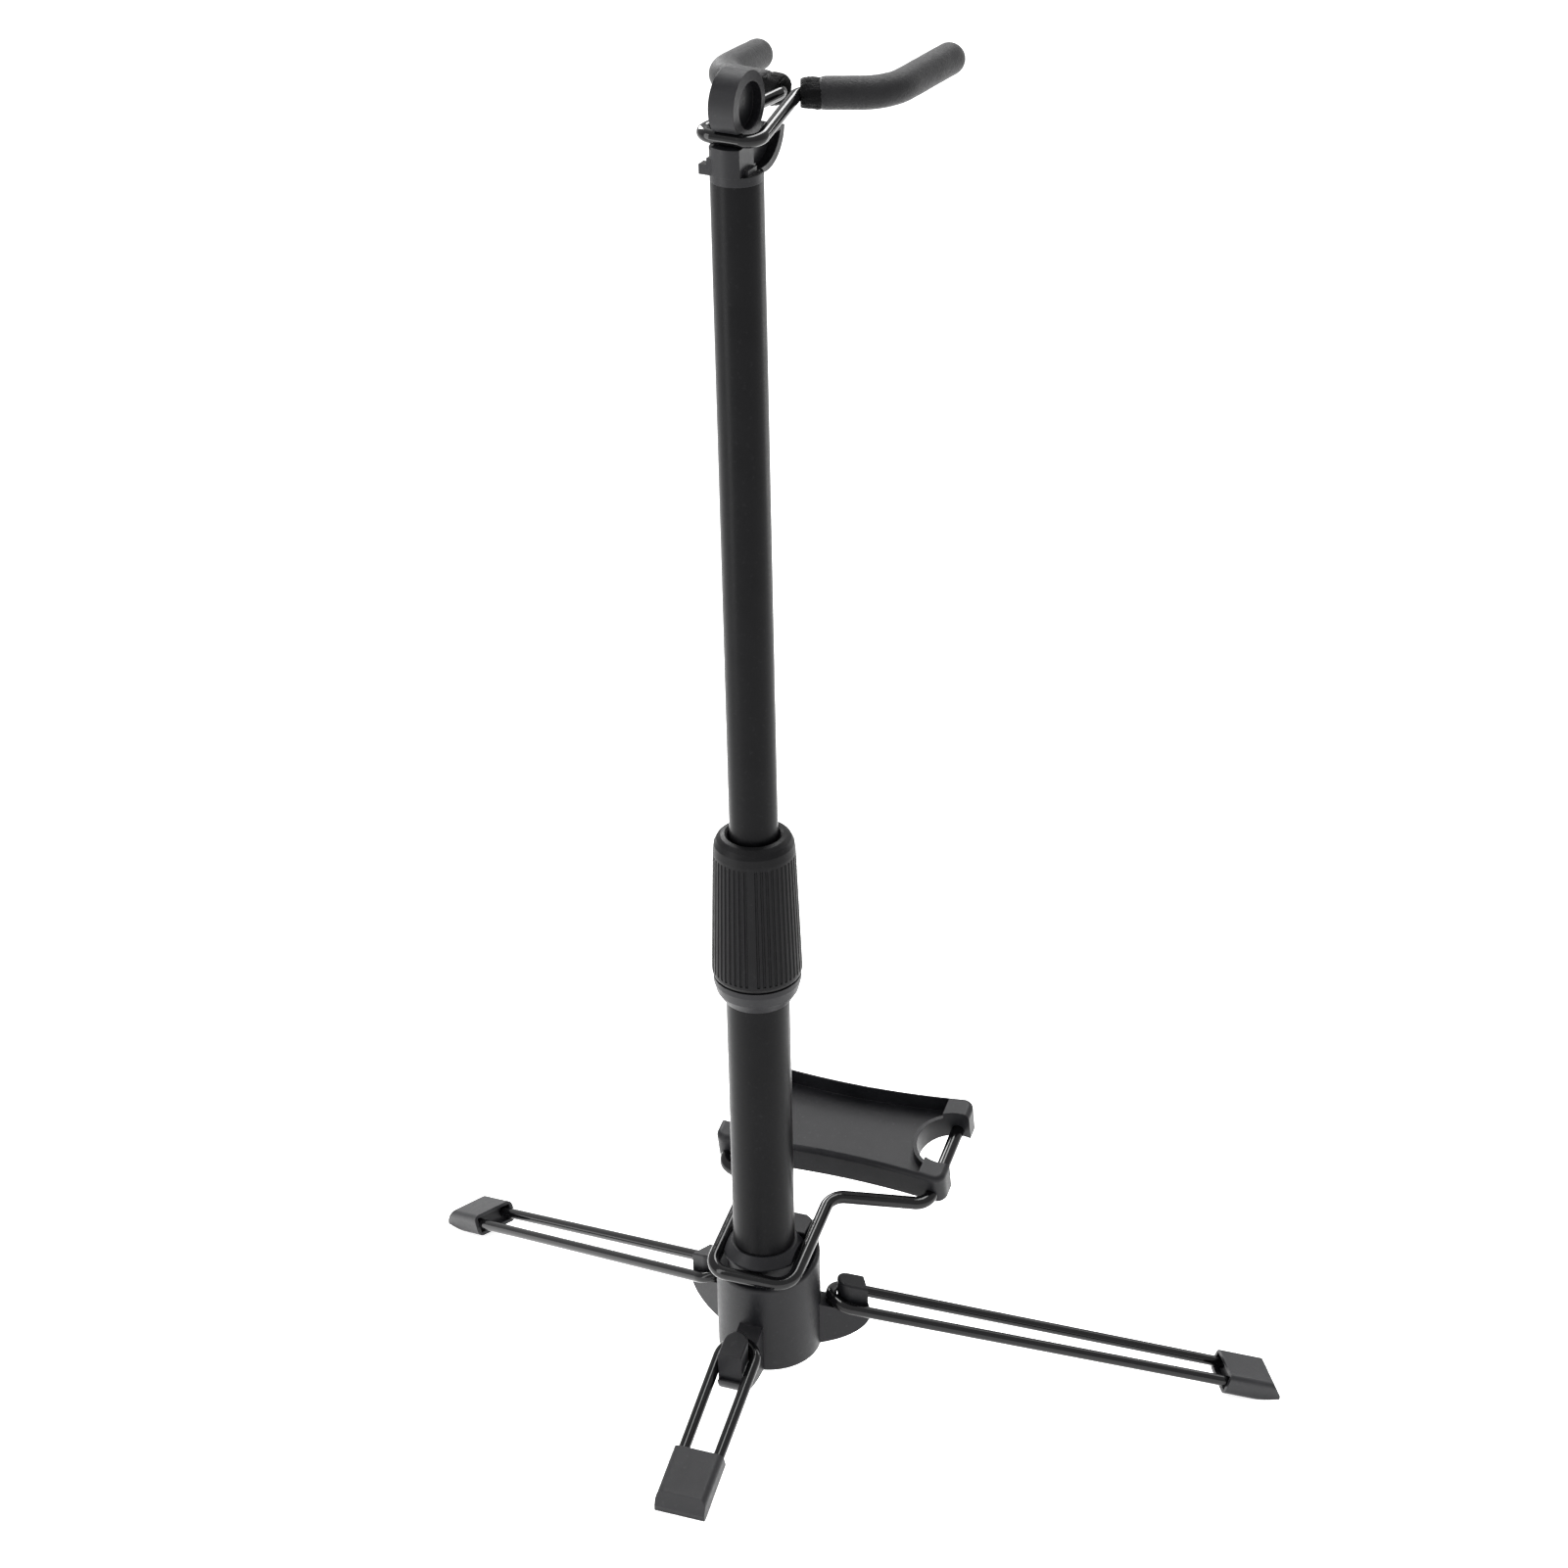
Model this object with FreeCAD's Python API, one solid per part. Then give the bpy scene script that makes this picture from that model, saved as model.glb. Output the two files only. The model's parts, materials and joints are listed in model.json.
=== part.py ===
import FreeCAD, Part
import math
import os

# Saxophone stand: a mast leaning back on a folding three-legged wire base, with a folding wire
# cradle whose tray takes the bow of the instrument and a padded fork at the top for its body.
#
# Frame: +Z up from the floor, +Y forward (the tray side), +X to the right. The origin is on the
# floor under the middle of the whole stand. Every piece is drawn with the mast upright, so that a
# height is a distance along the mast, is leaned back by LEAN about the floor point of the mast's
# centre line, and is moved forward with that point by MAST_Y.
# Lengths are in millimetres and angles in degrees.

V = FreeCAD.Vector
UP = V(0, 0, 1)
ACROSS = V(1, 0, 0)

# Mast
LEAN = 13.2
MAST_Y = 12.0
UPPER_R = 12.0
UPPER_WALL = 1.2
UPPER_BOTTOM = 278.0
UPPER_TOP = 689.0
LOWER_R = 16.0
LOWER_WALL = 1.5
LOWER_BOTTOM = 46.0
LOWER_TOP = 312.0
SLIDE_FIT = 0.05

# Hub
HUB_R = 27.3
HUB_SHIFT = 5.0
HUB_BOTTOM = 42.0
HUB_TOP = 100.3
COLLAR_R = 19.0
LIP_R = 21.3
LIP_BOTTOM = 106.0
COLLAR_TOP = 112.4
COLLAR_HALF = 18.6
STOP_TOP = 111.5

# Legs: three hairpins of wire, each hinged at its bend in a bracket of the hub
LEG_WIRE_R = 3.0
LEG_SLOPE = 21.6
LEG_PIVOT_R = 35.2
LEG_PIVOT_H = 69.5
LEG_HALF = 9.8
LEG_HALF_FOOT = 8.65
FRONT_LEG = 233.5
REAR_LEG = 67.4
FOOT_LENGTH = 33.4
FOOT_WIDTH = 27.0
FOOT_HALF = 6.4
FOOT_GRIP = 18.0
POST_HALF = 6.5
POST_CENTRE = 45.0
POST_FACE = 53.6
POST_RISE = 11.6
LEGS = (("front_right", 60.0, FRONT_LEG), ("front_left", -60.0, FRONT_LEG), ("rear", 180.0, REAR_LEG))

# Cradle
CRADLE_WIRE_R = 3.5
CRADLE_Y = -22.8
CRADLE_H = 102.2
CRADLE_SLOPE = 12.7
CRADLE_HALF = 22.6
CRADLE_BEND = 64.5
ROD_BEND = 72.0
ROD_HALF = 57.2
ROD_END = 136.0
TRAY_SHIFT = 16.8
TRAY_HALF = 64.2
TRAY_NEAR = 82.0
TRAY_FAR = 135.0
TRAY_FLARE = 4.5
TRAY_LOW = -4.4
TRAY_HIGH = 13.0
TRAY_EDGE = 3.0
TRAY_FLOOR = 3.0
TRAY_WALL = 2.4
NOTCH_IN = 5.0
NOTCH_R = 18.0
LIP_HIGH = 9.5

# Clutch
RING_BOTTOM = 263.0
GRIP_BOTTOM = 278.0
GRIP_TOP = 357.0
GRIP_R_LOW = 22.6
GRIP_R_HIGH = 20.4
NECK_R = 18.0
NECK_TOP = 327.0
RIB_COUNT = 48

# Head and fork
HEAD_TURN = -7.0
BOSS_R = 15.0
BOSS_Y = 1.5
BOSS_H = 723.0
BOSS_HALF = 6.2
BODY_HALF = 7.0
FORK_WIRE_R = 3.0
FORK_Y = -7.3
FORK_H = 709.4
FORK_BENDS = (7.0, 6.0, 24.0)
FOAM_R = 7.5
FOAM_START = 7.0

# Corners of each half of the fork: end of the rear bar, bend into the arm, bend of the arm, tip
FORK_LEFT = (V(-16.6, FORK_Y, FORK_H), V(-3.8, 56.2, 711.9), V(-44.5, 61.7, 710.8), V(-47.9, 112.4, 706.3))
FORK_RIGHT = (V(14.4, FORK_Y, FORK_H), V(6.6, 47.0, 714.7), V(43.0, 65.0, 714.3), V(49.2, 115.3, 715.9))


def leaned(shape, turn=0.0):
    """Turn a piece about the mast, lean it back with the mast and move it to the mast's place."""
    placed = shape.copy()
    placed.rotate(V(0, 0, 0), UP, turn)
    placed.rotate(V(0, 0, 0), ACROSS, LEAN)
    placed.translate(V(0, MAST_Y, 0))
    return placed


def save(name, shape, turn=0.0):
    leaned(shape, turn).exportStep("parts/%s.step" % name)


def box(x0, x1, y0, y1, z0, z1):
    return Part.makeBox(x1 - x0, y1 - y0, z1 - z0, V(x0, y0, z0))


def cylinder(radius, z0, z1, x=0.0, y=0.0):
    return Part.makeCylinder(radius, z1 - z0, V(x, y, z0))


def roller(radius, half, y, z):
    """Cylinder lying across the stand."""
    return Part.makeCylinder(radius, 2 * half, V(-half, y, z), ACROSS)


def lathe(outline):
    """Solid of revolution about the mast from (radius, height) points."""
    points = [V(radius, 0, height) for radius, height in outline]
    face = Part.Face(Part.makePolygon(points + points[:1]))
    return face.revolve(V(0, 0, 0), UP, 360)


def slab(outline, half):
    """Side profile of (y, height) points, extruded to the same distance on both sides."""
    points = [V(-half, y, z) for y, z in outline]
    return Part.Face(Part.makePolygon(points + points[:1])).extrude(V(2 * half, 0, 0))


def fillet_where(shape, radius, wanted):
    """Round the edges whose middle point passes the given test."""
    edges = [edge for edge in shape.Edges if wanted(edge.CenterOfMass)]
    return shape.makeFillet(radius, edges)


def bent_path(points, radii):
    """Polyline with each inner corner rounded to its own radius."""
    edges = []
    start = points[0]
    for index in range(1, len(points) - 1):
        corner = points[index]
        radius = radii[index - 1]
        back = (points[index - 1] - corner).normalize()
        ahead = (points[index + 1] - corner).normalize()
        half = back.getAngle(ahead) / 2
        into = corner + back * (radius / math.tan(half))
        out = corner + ahead * (radius / math.tan(half))
        middle = corner + (back + ahead).normalize() * (radius / math.sin(half) - radius)
        edges.append(Part.makeLine(start, into))
        edges.append(Part.Arc(into, middle, out).toShape())
        start = out
    edges.append(Part.makeLine(start, points[-1]))
    return Part.Wire(edges)


def rod(path, radius):
    """Round bar swept along a path."""
    first = path.Edges[0]
    begin = first.valueAt(first.FirstParameter)
    circle = Part.Wire(Part.makeCircle(radius, begin, first.tangentAt(first.FirstParameter)))
    return path.makePipeShell([circle], True, False)


def cradle_line(y, below=0.0):
    """Height of the lowered cradle wire's centre at a point y forward, less a drop square to it."""
    slope = math.radians(CRADLE_SLOPE)
    return CRADLE_H + (y - CRADLE_Y) * math.tan(slope) - below / math.cos(slope)


def leg_line(reach, above=0.0):
    """Height of a lowered leg wire's centre at a distance from the mast, plus a rise square to it."""
    slope = math.radians(LEG_SLOPE)
    return LEG_PIVOT_H - (reach - LEG_PIVOT_R) * math.tan(slope) + above / math.cos(slope)


def bracket():
    """Leg bracket drawn towards +Y: a fin under the wires and a post that stands in their bend."""
    floor_gap = -(LEG_WIRE_R + 0.3)
    curve = Part.BSplineCurve()
    curve.interpolate([V(0, 55.4, 59.4), V(0, 53.4, 53.8), V(0, 47.6, 48.6), V(0, 39.0, 45.2), V(0, 28.0, 43.8)])
    corners = [V(0, 28.0, 43.8), V(0, 14, 43.8), V(0, 14, leg_line(14, floor_gap)),
               V(0, 54.4, leg_line(54.4, floor_gap)), V(0, 55.4, 59.4)]
    edges = [Part.makeLine(corners[index], corners[index + 1]) for index in range(4)]
    fin = Part.Face(Part.Wire([curve.toShape()] + edges))
    fin.translate(V(-POST_HALF, 0, 0))
    fin = fin.extrude(V(2 * POST_HALF, 0, 0))
    post = cylinder(POST_HALF, 55, 90, 0, POST_CENTRE)
    post = post.fuse(box(-POST_HALF, POST_HALF, POST_CENTRE, POST_FACE, 55, 90))
    under_top = slab([(30, 50), (60, 50), (60, leg_line(60, POST_RISE)), (30, leg_line(30, POST_RISE))], 20)
    post = post.common(under_top).removeSplitter()
    post = fillet_where(post, 1.2, lambda c: c.z > leg_line(c.y, POST_RISE - 0.1) and c.y < POST_FACE - 0.1)
    return fin.fuse(post)


def hub():
    """Base moulding: body, collar round the mast, rest for the cradle and three leg brackets."""
    body = cylinder(HUB_R, HUB_BOTTOM, 130, 0, HUB_SHIFT)
    drop = cradle_line(HUB_SHIFT) - HUB_TOP
    roof = [(-40, 0), (40, 0), (40, cradle_line(40) - drop), (-40, cradle_line(-40) - drop)]
    body = body.common(slab(roof, 40))
    body = fillet_where(body, 2.2, lambda c: c.z > 80)
    body = fillet_where(body, 1.5, lambda c: c.z < HUB_BOTTOM + 0.1)
    collar = lathe([(0, 85), (COLLAR_R, 85), (COLLAR_R, LIP_BOTTOM), (LIP_R, LIP_BOTTOM + 0.2),
                    (LIP_R, LIP_BOTTOM + 1.4), (17.2, COLLAR_TOP), (0, COLLAR_TOP)])
    collar = collar.common(box(-COLLAR_HALF, COLLAR_HALF, -40, 40, 0, 200))
    stop = cylinder(HUB_R - 0.8, 90, STOP_TOP, 0, HUB_SHIFT)
    stop = stop.common(box(-COLLAR_HALF, COLLAR_HALF, 11, 27.5, 0, 200))
    stop = fillet_where(stop, 1.0, lambda c: c.z > STOP_TOP - 0.1)
    under_wire = CRADLE_WIRE_R + 0.3
    shelf = cylinder(HUB_R, 90, 130, 0, HUB_SHIFT)
    shelf = shelf.common(slab([(12, 90), (27, 90), (27, cradle_line(27, under_wire)),
                               (12, cradle_line(12, under_wire))], 23.4))
    moulding = body.fuse([collar, stop, shelf])
    for _, azimuth, _ in LEGS:
        one = bracket()
        one.rotate(V(0, 0, 0), UP, -azimuth)
        moulding = moulding.fuse(one)
    bore = cylinder(LOWER_R, LOWER_BOTTOM, 200)
    screw_hole = cylinder(3.0, 0, LOWER_BOTTOM + 1)
    recess = cylinder(9.0, HUB_BOTTOM - 1, HUB_BOTTOM + 1.5)
    return moulding.cut([bore, screw_hole, recess]).removeSplitter()


def lower_tube():
    outer = cylinder(LOWER_R, LOWER_BOTTOM, LOWER_TOP)
    return outer.cut(cylinder(LOWER_R - LOWER_WALL, LOWER_BOTTOM - 1, LOWER_TOP + 1))


def tube_plug():
    """Plug in the foot of the lower tube that the base screw bites into."""
    plug = cylinder(LOWER_R - LOWER_WALL, LOWER_BOTTOM, LOWER_BOTTOM + 12)
    return plug.cut(cylinder(3.0, LOWER_BOTTOM - 1, LOWER_BOTTOM + 11))


def base_screw():
    shank = cylinder(3.0, HUB_BOTTOM + 1.5, LOWER_BOTTOM + 10)
    head = Part.makeCone(5.6, 7.2, 2.0, V(0, 0, HUB_BOTTOM - 0.5))
    slot = box(-3.5, 3.5, -0.6, 0.6, 0, HUB_BOTTOM + 0.6)
    crossed = box(-0.6, 0.6, -3.5, 3.5, 0, HUB_BOTTOM + 0.6)
    return shank.fuse(head).cut([slot, crossed])


def clutch_body():
    """Collar fixed on the lower tube: a tapered ring and the neck that the grip turns on."""
    return lathe([(LOWER_R, RING_BOTTOM), (17.2, RING_BOTTOM), (20.6, RING_BOTTOM + 5.5), (22.0, RING_BOTTOM + 11),
                  (22.0, GRIP_BOTTOM - 1.0), (NECK_R, GRIP_BOTTOM - 1.0), (NECK_R, NECK_TOP),
                  (UPPER_R + 0.6, NECK_TOP), (UPPER_R + 0.6, LOWER_TOP), (LOWER_R, LOWER_TOP)])


def collet():
    """Split cone that the grip presses onto the upper tube."""
    inner = UPPER_R + SLIDE_FIT
    cone = lathe([(inner, NECK_TOP + 0.3), (17.0, NECK_TOP + 0.3), (17.0, NECK_TOP + 4), (14.4, 343), (inner, 343)])
    slits = [box(0, 30, -0.8, 0.8, NECK_TOP + 6, 350) for _ in range(4)]
    for index, slit in enumerate(slits):
        slit.rotate(V(0, 0, 0), UP, 90 * index)
    return cone.cut(slits)


def twist_grip():
    """Ribbed grip that tightens the collet."""
    inner = NECK_R + 0.08
    sleeve = lathe([(inner, GRIP_BOTTOM), (21.9, GRIP_BOTTOM), (22.5, GRIP_BOTTOM + 1.5),
                    (GRIP_R_LOW, GRIP_BOTTOM + 4), (GRIP_R_HIGH, GRIP_TOP - 9), (19.8, GRIP_TOP - 5),
                    (18.4, GRIP_TOP - 2.2), (16.4, GRIP_TOP - 0.6), (14.4, GRIP_TOP), (13.2, GRIP_TOP - 0.8),
                    (12.6, GRIP_TOP - 3), (12.6, 348), (14.9, 344), (inner, NECK_TOP + 3)])
    low = GRIP_BOTTOM + 3
    high = GRIP_TOP - 11
    taper = math.degrees(math.atan2(GRIP_R_LOW - GRIP_R_HIGH, GRIP_TOP - 9 - GRIP_BOTTOM - 4))
    groove = Part.makeCylinder(0.75, high - low, V(0, 0, low)).fuse(Part.makeSphere(0.75, V(0, 0, high)))
    groove.rotate(V(0, 0, low), V(0, 1, 0), -taper)
    groove.translate(V(GRIP_R_LOW + 0.15, 0, 0))
    grooves = []
    for index in range(RIB_COUNT):
        one = groove.copy()
        one.rotate(V(0, 0, 0), UP, 360.0 * index / RIB_COUNT)
        grooves.append(one)
    return sleeve.cut(Part.makeCompound(grooves))


def slide_bush():
    """Bush in the foot of the upper tube that guides it down the lower tube."""
    guide = cylinder(LOWER_R - LOWER_WALL - SLIDE_FIT, UPPER_BOTTOM - 14, UPPER_BOTTOM)
    spigot = cylinder(UPPER_R - UPPER_WALL, UPPER_BOTTOM - 1, UPPER_BOTTOM + 12)
    return guide.fuse(spigot).cut(cylinder(7, 0, 400))


def upper_tube():
    outer = cylinder(UPPER_R, UPPER_BOTTOM, UPPER_TOP)
    return outer.cut(cylinder(UPPER_R - UPPER_WALL, UPPER_BOTTOM - 1, UPPER_TOP + 1))


def head():
    """Top fitting: plug, body, recessed boss with a groove for the fork, and a forward rest."""
    plug = cylinder(UPPER_R - UPPER_WALL, UPPER_TOP - 25, UPPER_TOP + 1)
    collar = cylinder(UPPER_R, UPPER_TOP, UPPER_TOP + 4.2)
    body = box(-BODY_HALF, BODY_HALF, -13, 10, UPPER_TOP + 4, FORK_H - 2.5)
    body = body.common(cylinder(12.6, 600, 800))
    barrel = cylinder(UPPER_R, UPPER_TOP + 4, UPPER_TOP + 15)
    barrel = barrel.common(box(-UPPER_R, BODY_HALF, -13, 1, 600, 800))
    neck = box(-BOSS_HALF, BOSS_HALF, FORK_Y, 12.5, FORK_H - 4, BOSS_H - 4)
    boss = roller(BOSS_R, BOSS_HALF, BOSS_Y, BOSS_H)
    tip = V(0, 33.0, 704.8)
    heel = V(0, 13.0, UPPER_TOP)
    curve = Part.Arc(tip, V(0, 28.0, 694.2), heel).toShape()
    corners = [heel, V(0, 2, UPPER_TOP), V(0, 2, 706.6), V(0, 20, 706.6), tip]
    edges = [Part.makeLine(corners[index], corners[index + 1]) for index in range(4)]
    rest = Part.Face(Part.Wire([curve] + edges))
    rest.translate(V(-BODY_HALF, 0, 0))
    rest = rest.extrude(V(2 * BODY_HALF, 0, 0))
    foot = box(-9.2, 9.2, -6.5, 1.5, UPPER_TOP + 1, UPPER_TOP + 7)
    lug = box(-13.6, 0, -10, -5, UPPER_TOP + 3.6, UPPER_TOP + 8.2)
    lug_step = box(-9.6, 0, -10, -5, UPPER_TOP + 8, UPPER_TOP + 11.4)
    solid = body.fuse([barrel, neck, boss, rest, collar, foot, lug, lug_step, plug])
    for side in (-1, 1):
        solid = solid.cut(recesses(side))
    groove = roller(FORK_WIRE_R + 0.4, 20, FORK_Y, FORK_H)
    mouth = box(-20, 20, -40, FORK_Y, FORK_H - FORK_WIRE_R - 0.4, FORK_H + FORK_WIRE_R + 0.4)
    return solid.cut([groove, mouth]).removeSplitter()


def recesses(side):
    """Hollows moulded into one side: a round one in the boss and a wedge in the forward rest."""
    round_one = Part.makeCylinder(10.6, 10, V(side * 2.0, BOSS_Y + 1.0, BOSS_H - 0.6), V(side, 0, 0))
    keep = roller(BOSS_R - 2.6, 20, BOSS_Y, BOSS_H)
    round_one = round_one.common(keep)
    arc = Part.Arc(V(0, 29.0, 703.6), V(0, 24.0, 696.0), V(0, 12.5, 691.8)).toShape()
    corners = [V(0, 12.5, 691.8), V(0, 3, 691.8), V(0, 3, 704.0), V(0, 29.0, 703.6)]
    edges = [Part.makeLine(corners[index], corners[index + 1]) for index in range(3)]
    wedge = Part.Face(Part.Wire([arc] + edges))
    wedge.translate(V(side * 2.4, 0, 0))
    wedge = wedge.extrude(V(side * 10, 0, 0)).cut(box(-9.3, 9.3, -6.5, 4.5, UPPER_TOP, UPPER_TOP + 7))
    return [round_one, wedge]


def fork_wire():
    """Wire from the tip of the left arm, round the rear bar, to the tip of the right arm."""
    return rod(bent_path(FORK_LEFT[::-1] + FORK_RIGHT, FORK_BENDS[::-1] + FORK_BENDS), FORK_WIRE_R)


def fork_sleeve(corners):
    """Foam sleeve over one arm, closed and rounded at the tip."""
    _, inner, middle, tip = corners
    start = inner + (middle - inner).normalize() * FOAM_START
    outward = (tip - middle).normalize()
    path = bent_path([start, middle, tip], FORK_BENDS[2:])
    foam = rod(path, FOAM_R).cut(rod(path, FORK_WIRE_R))
    return foam.fuse(Part.makeSphere(FOAM_R, tip, outward, 0, 90, 360))


def leg_placed(shape, azimuth):
    """Tip a leg piece drawn along +Y from its pivot down to its slope and turn it into place."""
    placed = shape.copy()
    placed.rotate(V(0, 0, 0), ACROSS, -LEG_SLOPE)
    placed.translate(V(0, LEG_PIVOT_R, LEG_PIVOT_H))
    placed.rotate(V(0, 0, 0), UP, -azimuth)
    return placed


def strand_half(distance):
    """Half the spacing of the two strands at a distance along the leg: they close up slightly."""
    return LEG_HALF + (LEG_HALF_FOOT - LEG_HALF) * distance / FRONT_LEG


def leg_wire(length, azimuth):
    """Hairpin of wire, bent round the bracket's post, with both ends in the foot."""
    end = length + FOOT_GRIP
    half = strand_half(end)
    points = [V(-half, end, 0), V(-LEG_HALF, 0, 0), V(LEG_HALF, 0, 0), V(half, end, 0)]
    return leg_placed(rod(bent_path(points, (9.7, 9.7)), LEG_WIRE_R), azimuth)


def leg_foot(length, azimuth):
    """Rubber foot: a rounded block with a slanted nose, hollow at the mouth, flat where it stands."""
    side = FOOT_WIDTH / 2
    block = slab([(0, -FOOT_HALF), (28.4, -FOOT_HALF), (32.2, -5.0), (FOOT_LENGTH, -2.6), (32.4, 0.4),
                  (26.4, FOOT_HALF), (0, FOOT_HALF)], side)
    block = fillet_where(block, 3.6, lambda c: abs(abs(c.x) - side) < 0.01 and abs(abs(c.z) - FOOT_HALF) < 0.01)
    mouth = box(-side + 2.2, side - 2.2, -1, 4, -FOOT_HALF + 2, FOOT_HALF - 2)
    block = block.cut(mouth)
    block.translate(V(0, length, 0))
    end = length + FOOT_GRIP
    for sign in (-1, 1):
        strand = Part.makeLine(V(sign * LEG_HALF, 0, 0), V(sign * strand_half(end), end, 0))
        block = block.cut(rod(Part.Wire(strand), LEG_WIRE_R))
    floor = box(-400, 400, -400, 400, -200, 0)
    floor.rotate(V(0, 0, 0), ACROSS, -LEAN)
    return leg_placed(block, azimuth).cut(floor)


def cradle_placed(shape):
    """Tip a cradle piece, drawn flat with Y measured forward from its pivot, up to its slope."""
    placed = shape.copy()
    placed.rotate(V(0, 0, 0), ACROSS, CRADLE_SLOPE)
    placed.translate(V(0, CRADLE_Y, CRADLE_H))
    return placed


def cradle_path():
    """Half loop behind the mast, sides running forward, and a rod along each end of the tray."""
    left = TRAY_SHIFT - ROD_HALF
    right = TRAY_SHIFT + ROD_HALF
    points = [V(left, ROD_END, 0), V(left, ROD_BEND, 0), V(-CRADLE_HALF, CRADLE_BEND, 0), V(-CRADLE_HALF, 0, 0),
              V(CRADLE_HALF, 0, 0), V(CRADLE_HALF, CRADLE_BEND, 0), V(right, ROD_BEND, 0), V(right, ROD_END, 0)]
    return bent_path(points, (8.0, 9.0, 10.0, 10.0, 9.0, 8.0))


def cradle_wire():
    return cradle_placed(rod(cradle_path(), CRADLE_WIRE_R))


def tray_prism(inset, low, high):
    """Waisted plan of the tray, both long edges bowed in towards the middle, between two heights."""
    left = TRAY_SHIFT - TRAY_HALF + inset
    right = TRAY_SHIFT + TRAY_HALF - inset
    near = TRAY_NEAR + inset
    far = TRAY_FAR - inset
    corners = [V(left, near - TRAY_FLARE, low), V(right, near - TRAY_FLARE, low),
               V(right, far + TRAY_FLARE, low), V(left, far + TRAY_FLARE, low)]
    near_edge = Part.Arc(corners[0], V(TRAY_SHIFT, near, low), corners[1]).toShape()
    far_edge = Part.Arc(corners[2], V(TRAY_SHIFT, far, low), corners[3]).toShape()
    right_edge = Part.makeLine(corners[1], corners[2])
    left_edge = Part.makeLine(corners[3], corners[0])
    face = Part.Face(Part.Wire([near_edge, right_edge, far_edge, left_edge]))
    return face.extrude(V(0, 0, high - low))


def tray():
    """Moulded tray: waisted dish, a lipped half-round notch in each end and lugs on the rods."""
    outer = tray_prism(0, TRAY_LOW, TRAY_HIGH)
    ends = (TRAY_SHIFT - TRAY_HALF, TRAY_SHIFT + TRAY_HALF)
    upright = (TRAY_LOW + TRAY_HIGH) / 2
    outer = fillet_where(outer, 6.0, lambda c: abs(c.z - upright) < 0.1)
    outer = fillet_where(outer, TRAY_EDGE, lambda c: c.z > TRAY_HIGH - 0.1)
    hollow = tray_prism(TRAY_WALL, TRAY_FLOOR, TRAY_HIGH + 1)
    hollow = hollow.common(box(ends[0] + 14, ends[1] - 14, 0, 200, -50, 50))
    middle = (TRAY_NEAR + TRAY_FAR) / 2
    for side in (-1, 1):
        centre = TRAY_SHIFT + side * (TRAY_HALF - NOTCH_IN)
        lip = cylinder(NOTCH_R + 2.2, TRAY_LOW, LIP_HIGH, centre, middle)
        hollow = hollow.cut(lip)
    body = outer.cut(hollow)
    for side in (-1, 1):
        centre = TRAY_SHIFT + side * (TRAY_HALF - NOTCH_IN)
        body = body.cut(cylinder(NOTCH_R, -50, 50, centre, middle))
        body = body.cut(box(centre - 17, centre + 17, middle - 15.5, middle + 15.5, LIP_HIGH, 50))
    return cradle_placed(body.cut(rod(cradle_path(), CRADLE_WIRE_R)))


def main():
    os.makedirs("parts", exist_ok=True)
    save("hub", hub())
    save("lower_tube", lower_tube())
    save("tube_plug", tube_plug())
    save("base_screw", base_screw())
    save("clutch_body", clutch_body())
    save("collet", collet())
    save("twist_grip", twist_grip())
    save("slide_bush", slide_bush())
    save("upper_tube", upper_tube())
    save("head", head(), HEAD_TURN)
    save("fork_wire", fork_wire(), HEAD_TURN)
    save("fork_sleeve_left", fork_sleeve(FORK_LEFT), HEAD_TURN)
    save("fork_sleeve_right", fork_sleeve(FORK_RIGHT), HEAD_TURN)
    for name, azimuth, length in LEGS:
        save("leg_wire_%s" % name, leg_wire(length, azimuth))
        save("leg_foot_%s" % name, leg_foot(length, azimuth))
    save("cradle_wire", cradle_wire())
    save("tray", tray())


main()
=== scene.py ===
import json
import math

import bpy
from mathutils import Matrix, Vector, noise


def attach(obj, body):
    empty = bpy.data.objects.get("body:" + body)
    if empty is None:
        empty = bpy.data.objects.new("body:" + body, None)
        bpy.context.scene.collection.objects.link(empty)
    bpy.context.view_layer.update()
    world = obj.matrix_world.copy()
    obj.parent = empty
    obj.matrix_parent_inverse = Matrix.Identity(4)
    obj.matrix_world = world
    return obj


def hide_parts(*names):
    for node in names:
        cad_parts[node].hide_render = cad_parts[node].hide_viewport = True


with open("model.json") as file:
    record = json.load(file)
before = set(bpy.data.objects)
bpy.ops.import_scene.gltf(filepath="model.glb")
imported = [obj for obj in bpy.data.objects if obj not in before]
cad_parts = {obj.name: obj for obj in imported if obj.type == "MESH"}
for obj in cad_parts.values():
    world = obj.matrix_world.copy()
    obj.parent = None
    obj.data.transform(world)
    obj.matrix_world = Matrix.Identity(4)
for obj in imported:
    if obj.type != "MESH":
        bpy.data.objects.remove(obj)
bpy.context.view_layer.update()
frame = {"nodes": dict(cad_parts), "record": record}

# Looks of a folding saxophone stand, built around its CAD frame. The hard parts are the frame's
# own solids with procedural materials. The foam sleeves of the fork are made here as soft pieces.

MM = 0.001
TO_MM = 1000.0

# The mast leans back and stands a little forward of the origin. The head is turned on the mast.
LEAN = math.radians(13.2)
MAST_Y = 12.0
HEAD_TURN = math.radians(-7.0)

# Corners of the fork's arms (inner bend, outer bend, tip) in millimetres, with the mast upright
# and the head not yet turned.
ARM_LEFT = ((-3.8, 56.2, 711.9), (-44.5, 61.7, 710.8), (-47.9, 112.4, 706.3))
ARM_RIGHT = ((6.6, 47.0, 714.7), (43.0, 65.0, 714.3), (49.2, 115.3, 715.9))
ARM_BEND = 24.0
WIRE_R = 3.0
FOAM_R = 7.5


# ---------------------------------------------------------------- materials

# Scales of the noise fields, per metre.
DRIFT_SCALE = 38.0
SPECK_SCALE = 420.0
FOAM_SKIN_SCALE = 600.0
FOAM_MOTTLE_SCALE = 90.0

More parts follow.
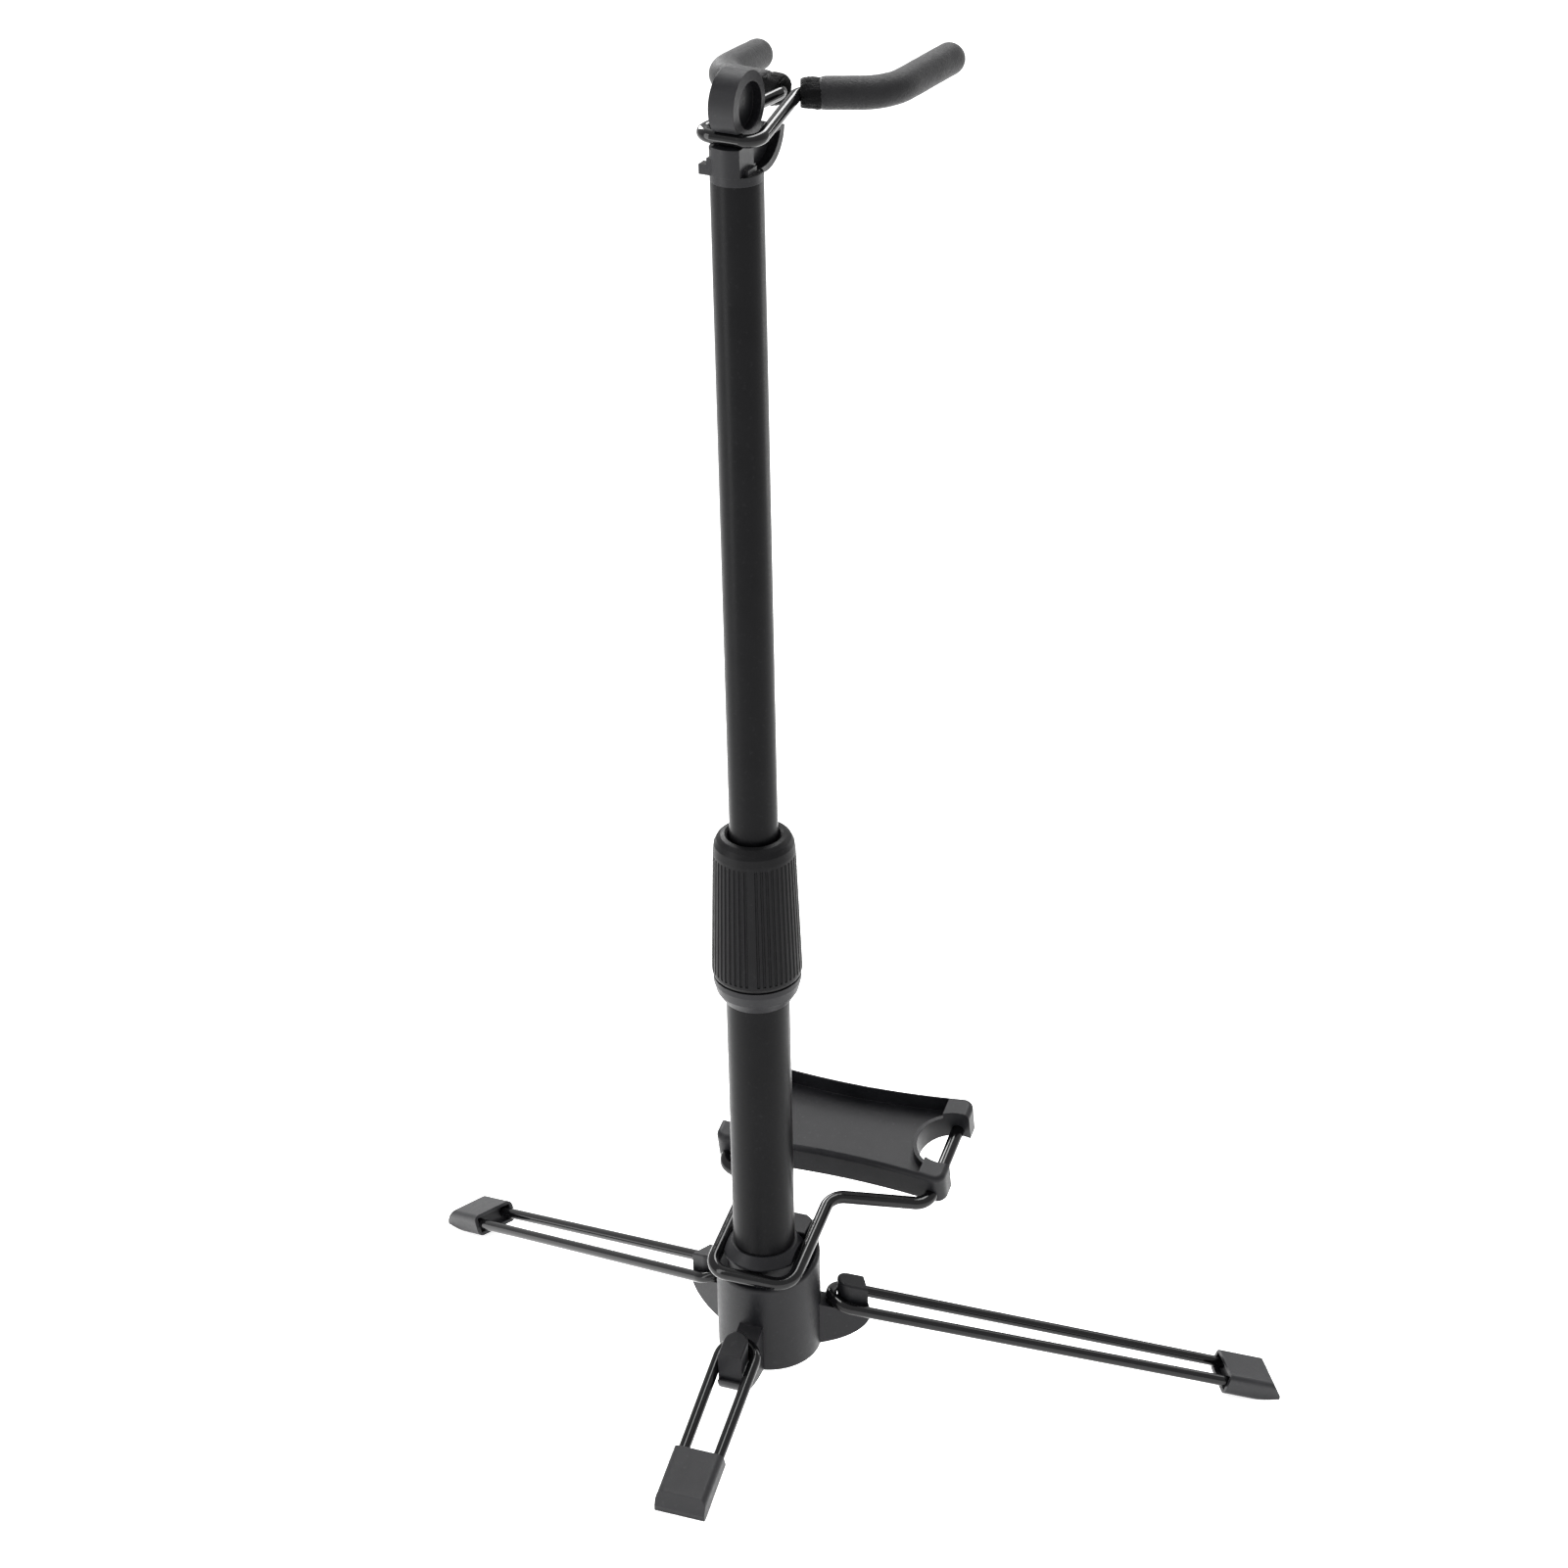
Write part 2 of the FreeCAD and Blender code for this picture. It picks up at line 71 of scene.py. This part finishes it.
GLOSS_SPECKLE = 0.03
SCUFF_COLOUR = (0.09, 0.09, 0.095)
SCUFF_BAND = (0.62, 0.74)
BEVEL_SAMPLES = 4
FOAM_ROUGHNESS = (0.5, 0.66)
FOAM_SHEEN_ROUGHNESS = 0.55


def link(tree, start, end):
    tree.links.new(start, end)


def noise_node(tree, coord, scale, detail, rough):
    node = tree.nodes.new("ShaderNodeTexNoise")
    node.inputs["Scale"].default_value = scale
    node.inputs["Detail"].default_value = detail
    node.inputs["Roughness"].default_value = rough
    link(tree, coord, node.inputs["Vector"])
    return node.outputs["Fac"]


def spread(tree, value, low, high, start=0.3, end=0.7):
    """Map the middle of a noise field onto a range of values."""
    node = tree.nodes.new("ShaderNodeMapRange")
    node.inputs["From Min"].default_value = start
    node.inputs["From Max"].default_value = end
    node.inputs["To Min"].default_value = low
    node.inputs["To Max"].default_value = high
    link(tree, value, node.inputs["Value"])
    return node.outputs["Result"]


def mixed(tree, factor, first, second):
    """Mix two colours, each one given as numbers or as the output of a node."""
    node = tree.nodes.new("ShaderNodeMix")
    node.data_type = "RGBA"
    for socket, colour in (("A", first), ("B", second)):
        if isinstance(colour, tuple):
            node.inputs[socket].default_value = (*colour, 1.0)
        else:
            link(tree, colour, node.inputs[socket])
    link(tree, factor, node.inputs["Factor"])
    return node.outputs["Result"]


def relief(tree, height, depth, strength, normal=None):
    node = tree.nodes.new("ShaderNodeBump")
    node.inputs["Distance"].default_value = depth
    node.inputs["Strength"].default_value = strength
    link(tree, height, node.inputs["Height"])
    if normal is not None:
        link(tree, normal, node.inputs["Normal"])
    return node.outputs["Normal"]


def eased_edges(tree, radius):
    node = tree.nodes.new("ShaderNodeBevel")
    node.samples = BEVEL_SAMPLES
    node.inputs["Radius"].default_value = radius
    return node.outputs["Normal"]


def blank(name):
    """New material: itself, its nodes, its shader and the coordinates of the piece."""
    material = bpy.data.materials.new(name)
    material.use_nodes = True
    tree = material.node_tree
    coord = tree.nodes.new("ShaderNodeTexCoord").outputs["Object"]
    return material, tree, tree.nodes["Principled BSDF"], coord


def surface(name, dark, light, rough, grain, depth, edge=0.0004, wear=0.0, specular=0.5,
            metallic=0.0):
    """Painted, moulded, rubber or plated surface with grain, drifting colour and gloss.

    rough is the range of roughness, grain the scale of the bump, depth its height in metres,
    edge the radius that edges are eased by, and wear how strongly the scuffs show.
    """
    material, tree, shader, coord = blank(name)
    fine = noise_node(tree, coord, grain, 4.0, 0.6)
    broad = noise_node(tree, coord, DRIFT_SCALE, 4.0, 0.6)
    speck = noise_node(tree, coord, SPECK_SCALE, 2.0, 0.5)
    colour = mixed(tree, spread(tree, broad, 0.0, 1.0), dark, light)
    if wear > 0.0:
        scuff = spread(tree, speck, 0.0, wear, *SCUFF_BAND)
        colour = mixed(tree, scuff, colour, SCUFF_COLOUR)
    link(tree, colour, shader.inputs["Base Color"])
    gloss = tree.nodes.new("ShaderNodeMath")
    gloss.operation = "ADD"
    link(tree, spread(tree, broad, *rough), gloss.inputs[0])
    link(tree, spread(tree, speck, -GLOSS_SPECKLE, GLOSS_SPECKLE), gloss.inputs[1])
    link(tree, gloss.outputs["Value"], shader.inputs["Roughness"])
    eased = eased_edges(tree, edge) if edge > 0.0 else None
    link(tree, relief(tree, fine, depth, 1.0, eased), shader.inputs["Normal"])
    shader.inputs["Specular IOR Level"].default_value = specular
    shader.inputs["Metallic"].default_value = metallic
    return material


def foam_surface(name, dark, light, pore, depth, specular, sheen):
    """Closed-cell foam: tiny pores of a scale and depth, an uneven skin and mottled colour."""
    material, tree, shader, coord = blank(name)
    cells = tree.nodes.new("ShaderNodeTexVoronoi")
    cells.inputs["Scale"].default_value = pore
    link(tree, coord, cells.inputs["Vector"])
    skin = noise_node(tree, coord, FOAM_SKIN_SCALE, 5.0, 0.65)
    mottle = noise_node(tree, coord, FOAM_MOTTLE_SCALE, 4.0, 0.6)
    colour = mixed(tree, spread(tree, mottle, 0.0, 1.0), dark, light)
    link(tree, colour, shader.inputs["Base Color"])
    link(tree, spread(tree, skin, *FOAM_ROUGHNESS), shader.inputs["Roughness"])
    pores = relief(tree, cells.outputs["Distance"], depth, 0.5)
    link(tree, relief(tree, skin, depth, 0.6, pores), shader.inputs["Normal"])
    shader.inputs["Specular IOR Level"].default_value = specular
    shader.inputs["Sheen Weight"].default_value = sheen
    shader.inputs["Sheen Roughness"].default_value = FOAM_SHEEN_ROUGHNESS
    return material


# Material of each slot in the record of the frame.
MATERIALS = {
    "tube_paint": surface(
        "tube_powder_coat", (0.0018, 0.0018, 0.0022), (0.0034, 0.0034, 0.0039),
        (0.30, 0.38), 1500.0, 0.00002, wear=0.03, specular=0.07),
    "wire_paint": surface(
        "wire_gloss_paint", (0.0020, 0.0020, 0.0023), (0.0034, 0.0034, 0.0038),
        (0.08, 0.12), 900.0, 0.00001, edge=0.0, wear=0.03, specular=0.26),
    "moulding": surface(
        "moulded_black", (0.0042, 0.0042, 0.0052), (0.0068, 0.0068, 0.0082),
        (0.38, 0.48), 2600.0, 0.00004, wear=0.06, specular=0.19),
    "grip_plastic": surface(
        "grip_black", (0.0030, 0.0030, 0.0034), (0.0050, 0.0050, 0.0055),
        (0.38, 0.48), 2600.0, 0.00004, edge=0.0002, wear=0.04, specular=0.09),
    "collet_plastic": surface(
        "collet_grey", (0.010, 0.010, 0.011), (0.016, 0.016, 0.017),
        (0.40, 0.50), 2600.0, 0.00003, specular=0.2),
    "foot_rubber": surface(
        "foot_rubber", (0.0070, 0.0070, 0.0082), (0.0120, 0.0120, 0.0136),
        (0.36, 0.48), 1800.0, 0.00006, edge=0.0006, wear=0.06, specular=0.30),
    "screw_steel": surface(
        "screw_zinc", (0.42, 0.42, 0.43), (0.55, 0.55, 0.56),
        (0.28, 0.40), 1200.0, 0.00003, edge=0.0002, metallic=1.0),
    "foam": foam_surface(
        "foam_black", (0.0050, 0.0050, 0.0058), (0.0085, 0.0085, 0.0095),
        pore=1500.0, depth=0.00022, specular=0.16, sheen=0.07),
}
# Foam of the ragged sleeve ends, near black and without sheen: painted shade in the crumpled
# ends, far darker than the foam's own colour.
FOAM_END_SHADE = foam_surface(
    "foam_end_painted_shade", (0.0008, 0.0008, 0.0009), (0.0030, 0.0030, 0.0034),
    pore=900.0, depth=0.0005, specular=0.06, sheen=0.0)

for part in frame["record"]["subparts"]:
    node = frame["nodes"][part["node"]]
    for slot in node.material_slots:
        slot.material = MATERIALS[part["material_slot"]]


# ---------------------------------------------------------------- foam sleeves

PATH_STEP = 1.1
FEWEST_RUN_STEPS = 2
FEWEST_BEND_STEPS = 4
SLEEVE_SIDES = 56

# Unevenness of the foam: scales of its fine and broad noise per millimetre, the share of the
# broad one, and the height of both, in millimetres, on the body and on the torn end.
FUZZ_SCALE = 0.9
WAVE_SCALE = 0.12
WAVE_SHARE = 1.6
BODY_ROUGH = 0.07
TORN_ROUGH = 0.6

# Distance past the inner bend where the sleeve and its torn end start, in millimetres.
SLEEVE_START = 9.4
TORN_START = 1.2

# Profiles of (distance along the arm, radius) in millimetres.
MOUTH = ((1.8, WIRE_R + 0.05), (0.5, WIRE_R + 0.35), (0.0, 4.6), (0.1, 6.0), (0.7, 6.9),
         (1.6, 7.35))
TORN_END = ((2.6, 3.05), (1.2, 3.8), (0.2, 4.8), (0.0, 5.7), (0.7, 6.4), (2.0, 6.8), (3.6, 7.0),
            (5.4, 7.1), (7.4, 7.1), (9.2, 6.8), (10.4, 6.0))
BODY_FROM = 3
TIP_STEPS = 9


def placed(x, y, z):
    """Point of the fork, in millimetres with the mast upright, in the stand's frame in metres."""
    turned = Matrix.Rotation(HEAD_TURN, 3, "Z") @ Vector((x, y, z))
    return (Matrix.Rotation(LEAN, 3, "X") @ turned + Vector((0, MAST_Y, 0))) * MM


def arm_path(arm, start_after):
    """Points and directions along an arm, from start_after past its inner bend to its tip."""
    inner, corner, tip = [placed(*point) for point in arm]
    first = (corner - inner).normalized()
    second = (tip - corner).normalized()
    turn = first.angle(second)
    reach = ARM_BEND * MM * math.tan(turn / 2)
    into = corner - first * reach
    out = corner + second * reach
    start = inner + first * start_after * MM
    centre = into + (second - first * first.dot(second)).normalized() * ARM_BEND * MM
    axis = first.cross(second).normalized()
    step = PATH_STEP * MM
    count = max(FEWEST_RUN_STEPS, round((into - start).length / step))
    points = [(start.lerp(into, i / count), first) for i in range(count)]
    count = max(FEWEST_BEND_STEPS, round(turn * ARM_BEND / PATH_STEP))
    for i in range(count):
        spin = Matrix.Rotation(turn * i / count, 3, axis)
        points.append((centre + spin @ (into - centre), spin @ first))
    count = max(FEWEST_RUN_STEPS, round((tip - out).length / step))
    points += [(out.lerp(tip, i / count), second) for i in range(count + 1)]
    return points


def profile_rings(path, profile):
    """Rings of (centre, direction, radius) that follow a profile from the start of a path."""
    start, ahead = path[0]
    return [(start + ahead * along * MM, ahead, radius * MM) for along, radius in profile]


def tube_mesh(name, rings, rough, seed):
    """Closed skin through rings of (centre, direction, radius), with a roughened surface."""
    vertices = []
    faces = []
    side_hint = Vector((0.0, 0.0, 1.0))
    for centre, ahead, radius in rings:
        across = ahead.cross(side_hint).normalized()
        up = across.cross(ahead).normalized()
        for i in range(SLEEVE_SIDES):
            angle = 2 * math.pi * i / SLEEVE_SIDES
            out = across * math.cos(angle) + up * math.sin(angle)
            spot = (centre + out * radius) * TO_MM
            fuzz = noise.fractal(spot * FUZZ_SCALE + Vector((seed, 0, 0)), 1.0, 2.0, 4) * rough
            wave = noise.noise(spot * WAVE_SCALE + Vector((0, seed, 0))) * rough * WAVE_SHARE
            vertices.append(centre + out * (radius + (fuzz + wave) * MM))
    for ring in range(len(rings) - 1):
        for i in range(SLEEVE_SIDES):
            a = ring * SLEEVE_SIDES + i
            b = ring * SLEEVE_SIDES + (i + 1) % SLEEVE_SIDES
            faces.append((a, b, b + SLEEVE_SIDES, a + SLEEVE_SIDES))
    for ring, flip in ((0, True), (len(rings) - 1, False)):
        vertices.append(rings[ring][0])
        hub = len(vertices) - 1
        for i in range(SLEEVE_SIDES):
            a = ring * SLEEVE_SIDES + i
            b = ring * SLEEVE_SIDES + (i + 1) % SLEEVE_SIDES
            faces.append((b, a, hub) if flip else (a, b, hub))
    mesh = bpy.data.meshes.new(name)
    mesh.from_pydata([tuple(v) for v in vertices], [], faces)
    mesh.validate()
    mesh.update()
    for polygon in mesh.polygons:
        polygon.use_smooth = True
    piece = bpy.data.objects.new(name, mesh)
    bpy.context.scene.collection.objects.link(piece)
    return piece


def sleeve(arm, name, node, seed):
    """Foam sleeve: a turned-in mouth round the wire, a soft body and a domed tip."""
    path = arm_path(arm, SLEEVE_START)
    rings = profile_rings(path, MOUTH)
    rings += [(point, way, FOAM_R * MM) for point, way in path[BODY_FROM:]]
    tip, way = path[-1]
    for i in range(1, TIP_STEPS):
        angle = math.pi / 2 * i / TIP_STEPS
        centre = tip + way * FOAM_R * MM * math.sin(angle)
        rings.append((centre, way, FOAM_R * MM * math.cos(angle)))
    piece = tube_mesh(name, rings, BODY_ROUGH, seed)
    piece.data.materials.append(MATERIALS["foam"])
    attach(piece, "fork")
    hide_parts(node)


def torn_end(arm, name, seed):
    """Ragged lip of foam where a sleeve was cut off short of the bend in the wire, coloured near
    black and unglossy as painted shade.
    """
    piece = tube_mesh(name, profile_rings(arm_path(arm, TORN_START), TORN_END), TORN_ROUGH, seed)
    piece.data.materials.append(FOAM_END_SHADE)
    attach(piece, "fork")


sleeve(ARM_LEFT, "foam_sleeve_left", "fork_sleeve_left", 3.0)
sleeve(ARM_RIGHT, "foam_sleeve_right", "fork_sleeve_right", 11.0)
torn_end(ARM_LEFT, "foam_mouth_left", 5.0)
torn_end(ARM_RIGHT, "foam_mouth_right", 17.0)


# ---------------------------------------------------------------- studio

# Plain bright paper on the floor and all round.
FLOOR_REACH = 40.0
PAPER = (0.93, 0.93, 0.93)
PAPER_ROUGHNESS = 0.95
PAPER_GLOW = 0.75
SURROUND = 0.9
WHITE = (1.0, 1.0, 1.0, 1.0)

# Name, place, target and size in metres, power in watts.
SOFTBOXES = (
    ("key_back_left", (-1.5, 1.2, 1.9), (0.0, 0.0, 0.35), (0.7, 0.9), 44.0),
    ("top", (0.0, 0.3, 2.2), (0.0, 0.0, 0.3), (0.6, 1.8), 46.0),
    ("strip_left", (-0.42, -0.49, 0.55), (0.0, -0.05, 0.50), (0.18, 1.0), 3.2),
    ("strip_right", (0.45, 0.52, 0.66), (0.0, -0.05, 0.55), (0.14, 0.8), 1.7),
)

# Camera behind the stand and to its right: its axes, its place in millimetres and its optics.
CAMERA_RIGHT = (0.939459, 0.337249, 0.060654)
CAMERA_UP = (-0.153870, 0.257038, 0.954073)
CAMERA_BACK = (0.306170, -0.905646, 0.293370)
CAMERA_PLACE = (521.03, MAST_Y - 1581.54, 860.38)
CAMERA_SENSOR = 36.0
CAMERA_LENS = 78.777
CAMERA_NEAR = 0.05
CAMERA_FAR = 200.0


def floor():
    mesh = bpy.data.meshes.new("studio_floor")
    r = FLOOR_REACH
    mesh.from_pydata([(-r, -r, 0), (r, -r, 0), (r, r, 0), (-r, r, 0)], [], [(0, 1, 2, 3)])
    plane = bpy.data.objects.new("studio_floor", mesh)
    bpy.context.scene.collection.objects.link(plane)
    paper = bpy.data.materials.new("studio_paper")
    paper.use_nodes = True
    shader = paper.node_tree.nodes["Principled BSDF"]
    shader.inputs["Base Color"].default_value = (*PAPER, 1.0)
    shader.inputs["Roughness"].default_value = PAPER_ROUGHNESS
    shader.inputs["Specular IOR Level"].default_value = 0.0
    shader.inputs["Emission Color"].default_value = WHITE
    shader.inputs["Emission Strength"].default_value = PAPER_GLOW
    mesh.materials.append(paper)


def surround():
    world = bpy.data.worlds.new("studio")
    world.use_nodes = True
    background = world.node_tree.nodes["Background"]
    background.inputs["Color"].default_value = WHITE
    background.inputs["Strength"].default_value = SURROUND
    bpy.context.scene.world = world


def softbox(name, place, target, size, power):
    light = bpy.data.lights.new(name, "AREA")
    light.shape = "RECTANGLE"
    light.size, light.size_y = size
    light.energy = power
    lamp = bpy.data.objects.new(name, light)
    lamp.location = place
    aim = Vector(target) - Vector(place)
    lamp.rotation_euler = aim.to_track_quat("-Z", "Y").to_euler()
    lamp.visible_camera = False
    bpy.context.scene.collection.objects.link(lamp)


def camera():
    data = bpy.data.cameras.new("camera")
    data.sensor_width = CAMERA_SENSOR
    data.lens = CAMERA_LENS
    data.dof.use_dof = False
    data.clip_start = CAMERA_NEAR
    data.clip_end = CAMERA_FAR
    eye = bpy.data.objects.new("camera", data)
    turn = Matrix((CAMERA_RIGHT, CAMERA_UP, CAMERA_BACK)).transposed().to_4x4()
    eye.matrix_world = Matrix.Translation(Vector(CAMERA_PLACE) * MM) @ turn
    bpy.context.scene.collection.objects.link(eye)
    bpy.context.scene.camera = eye


floor()
surround()
for box in SOFTBOXES:
    softbox(*box)
camera()
bpy.context.scene.view_settings.view_transform = "Standard"
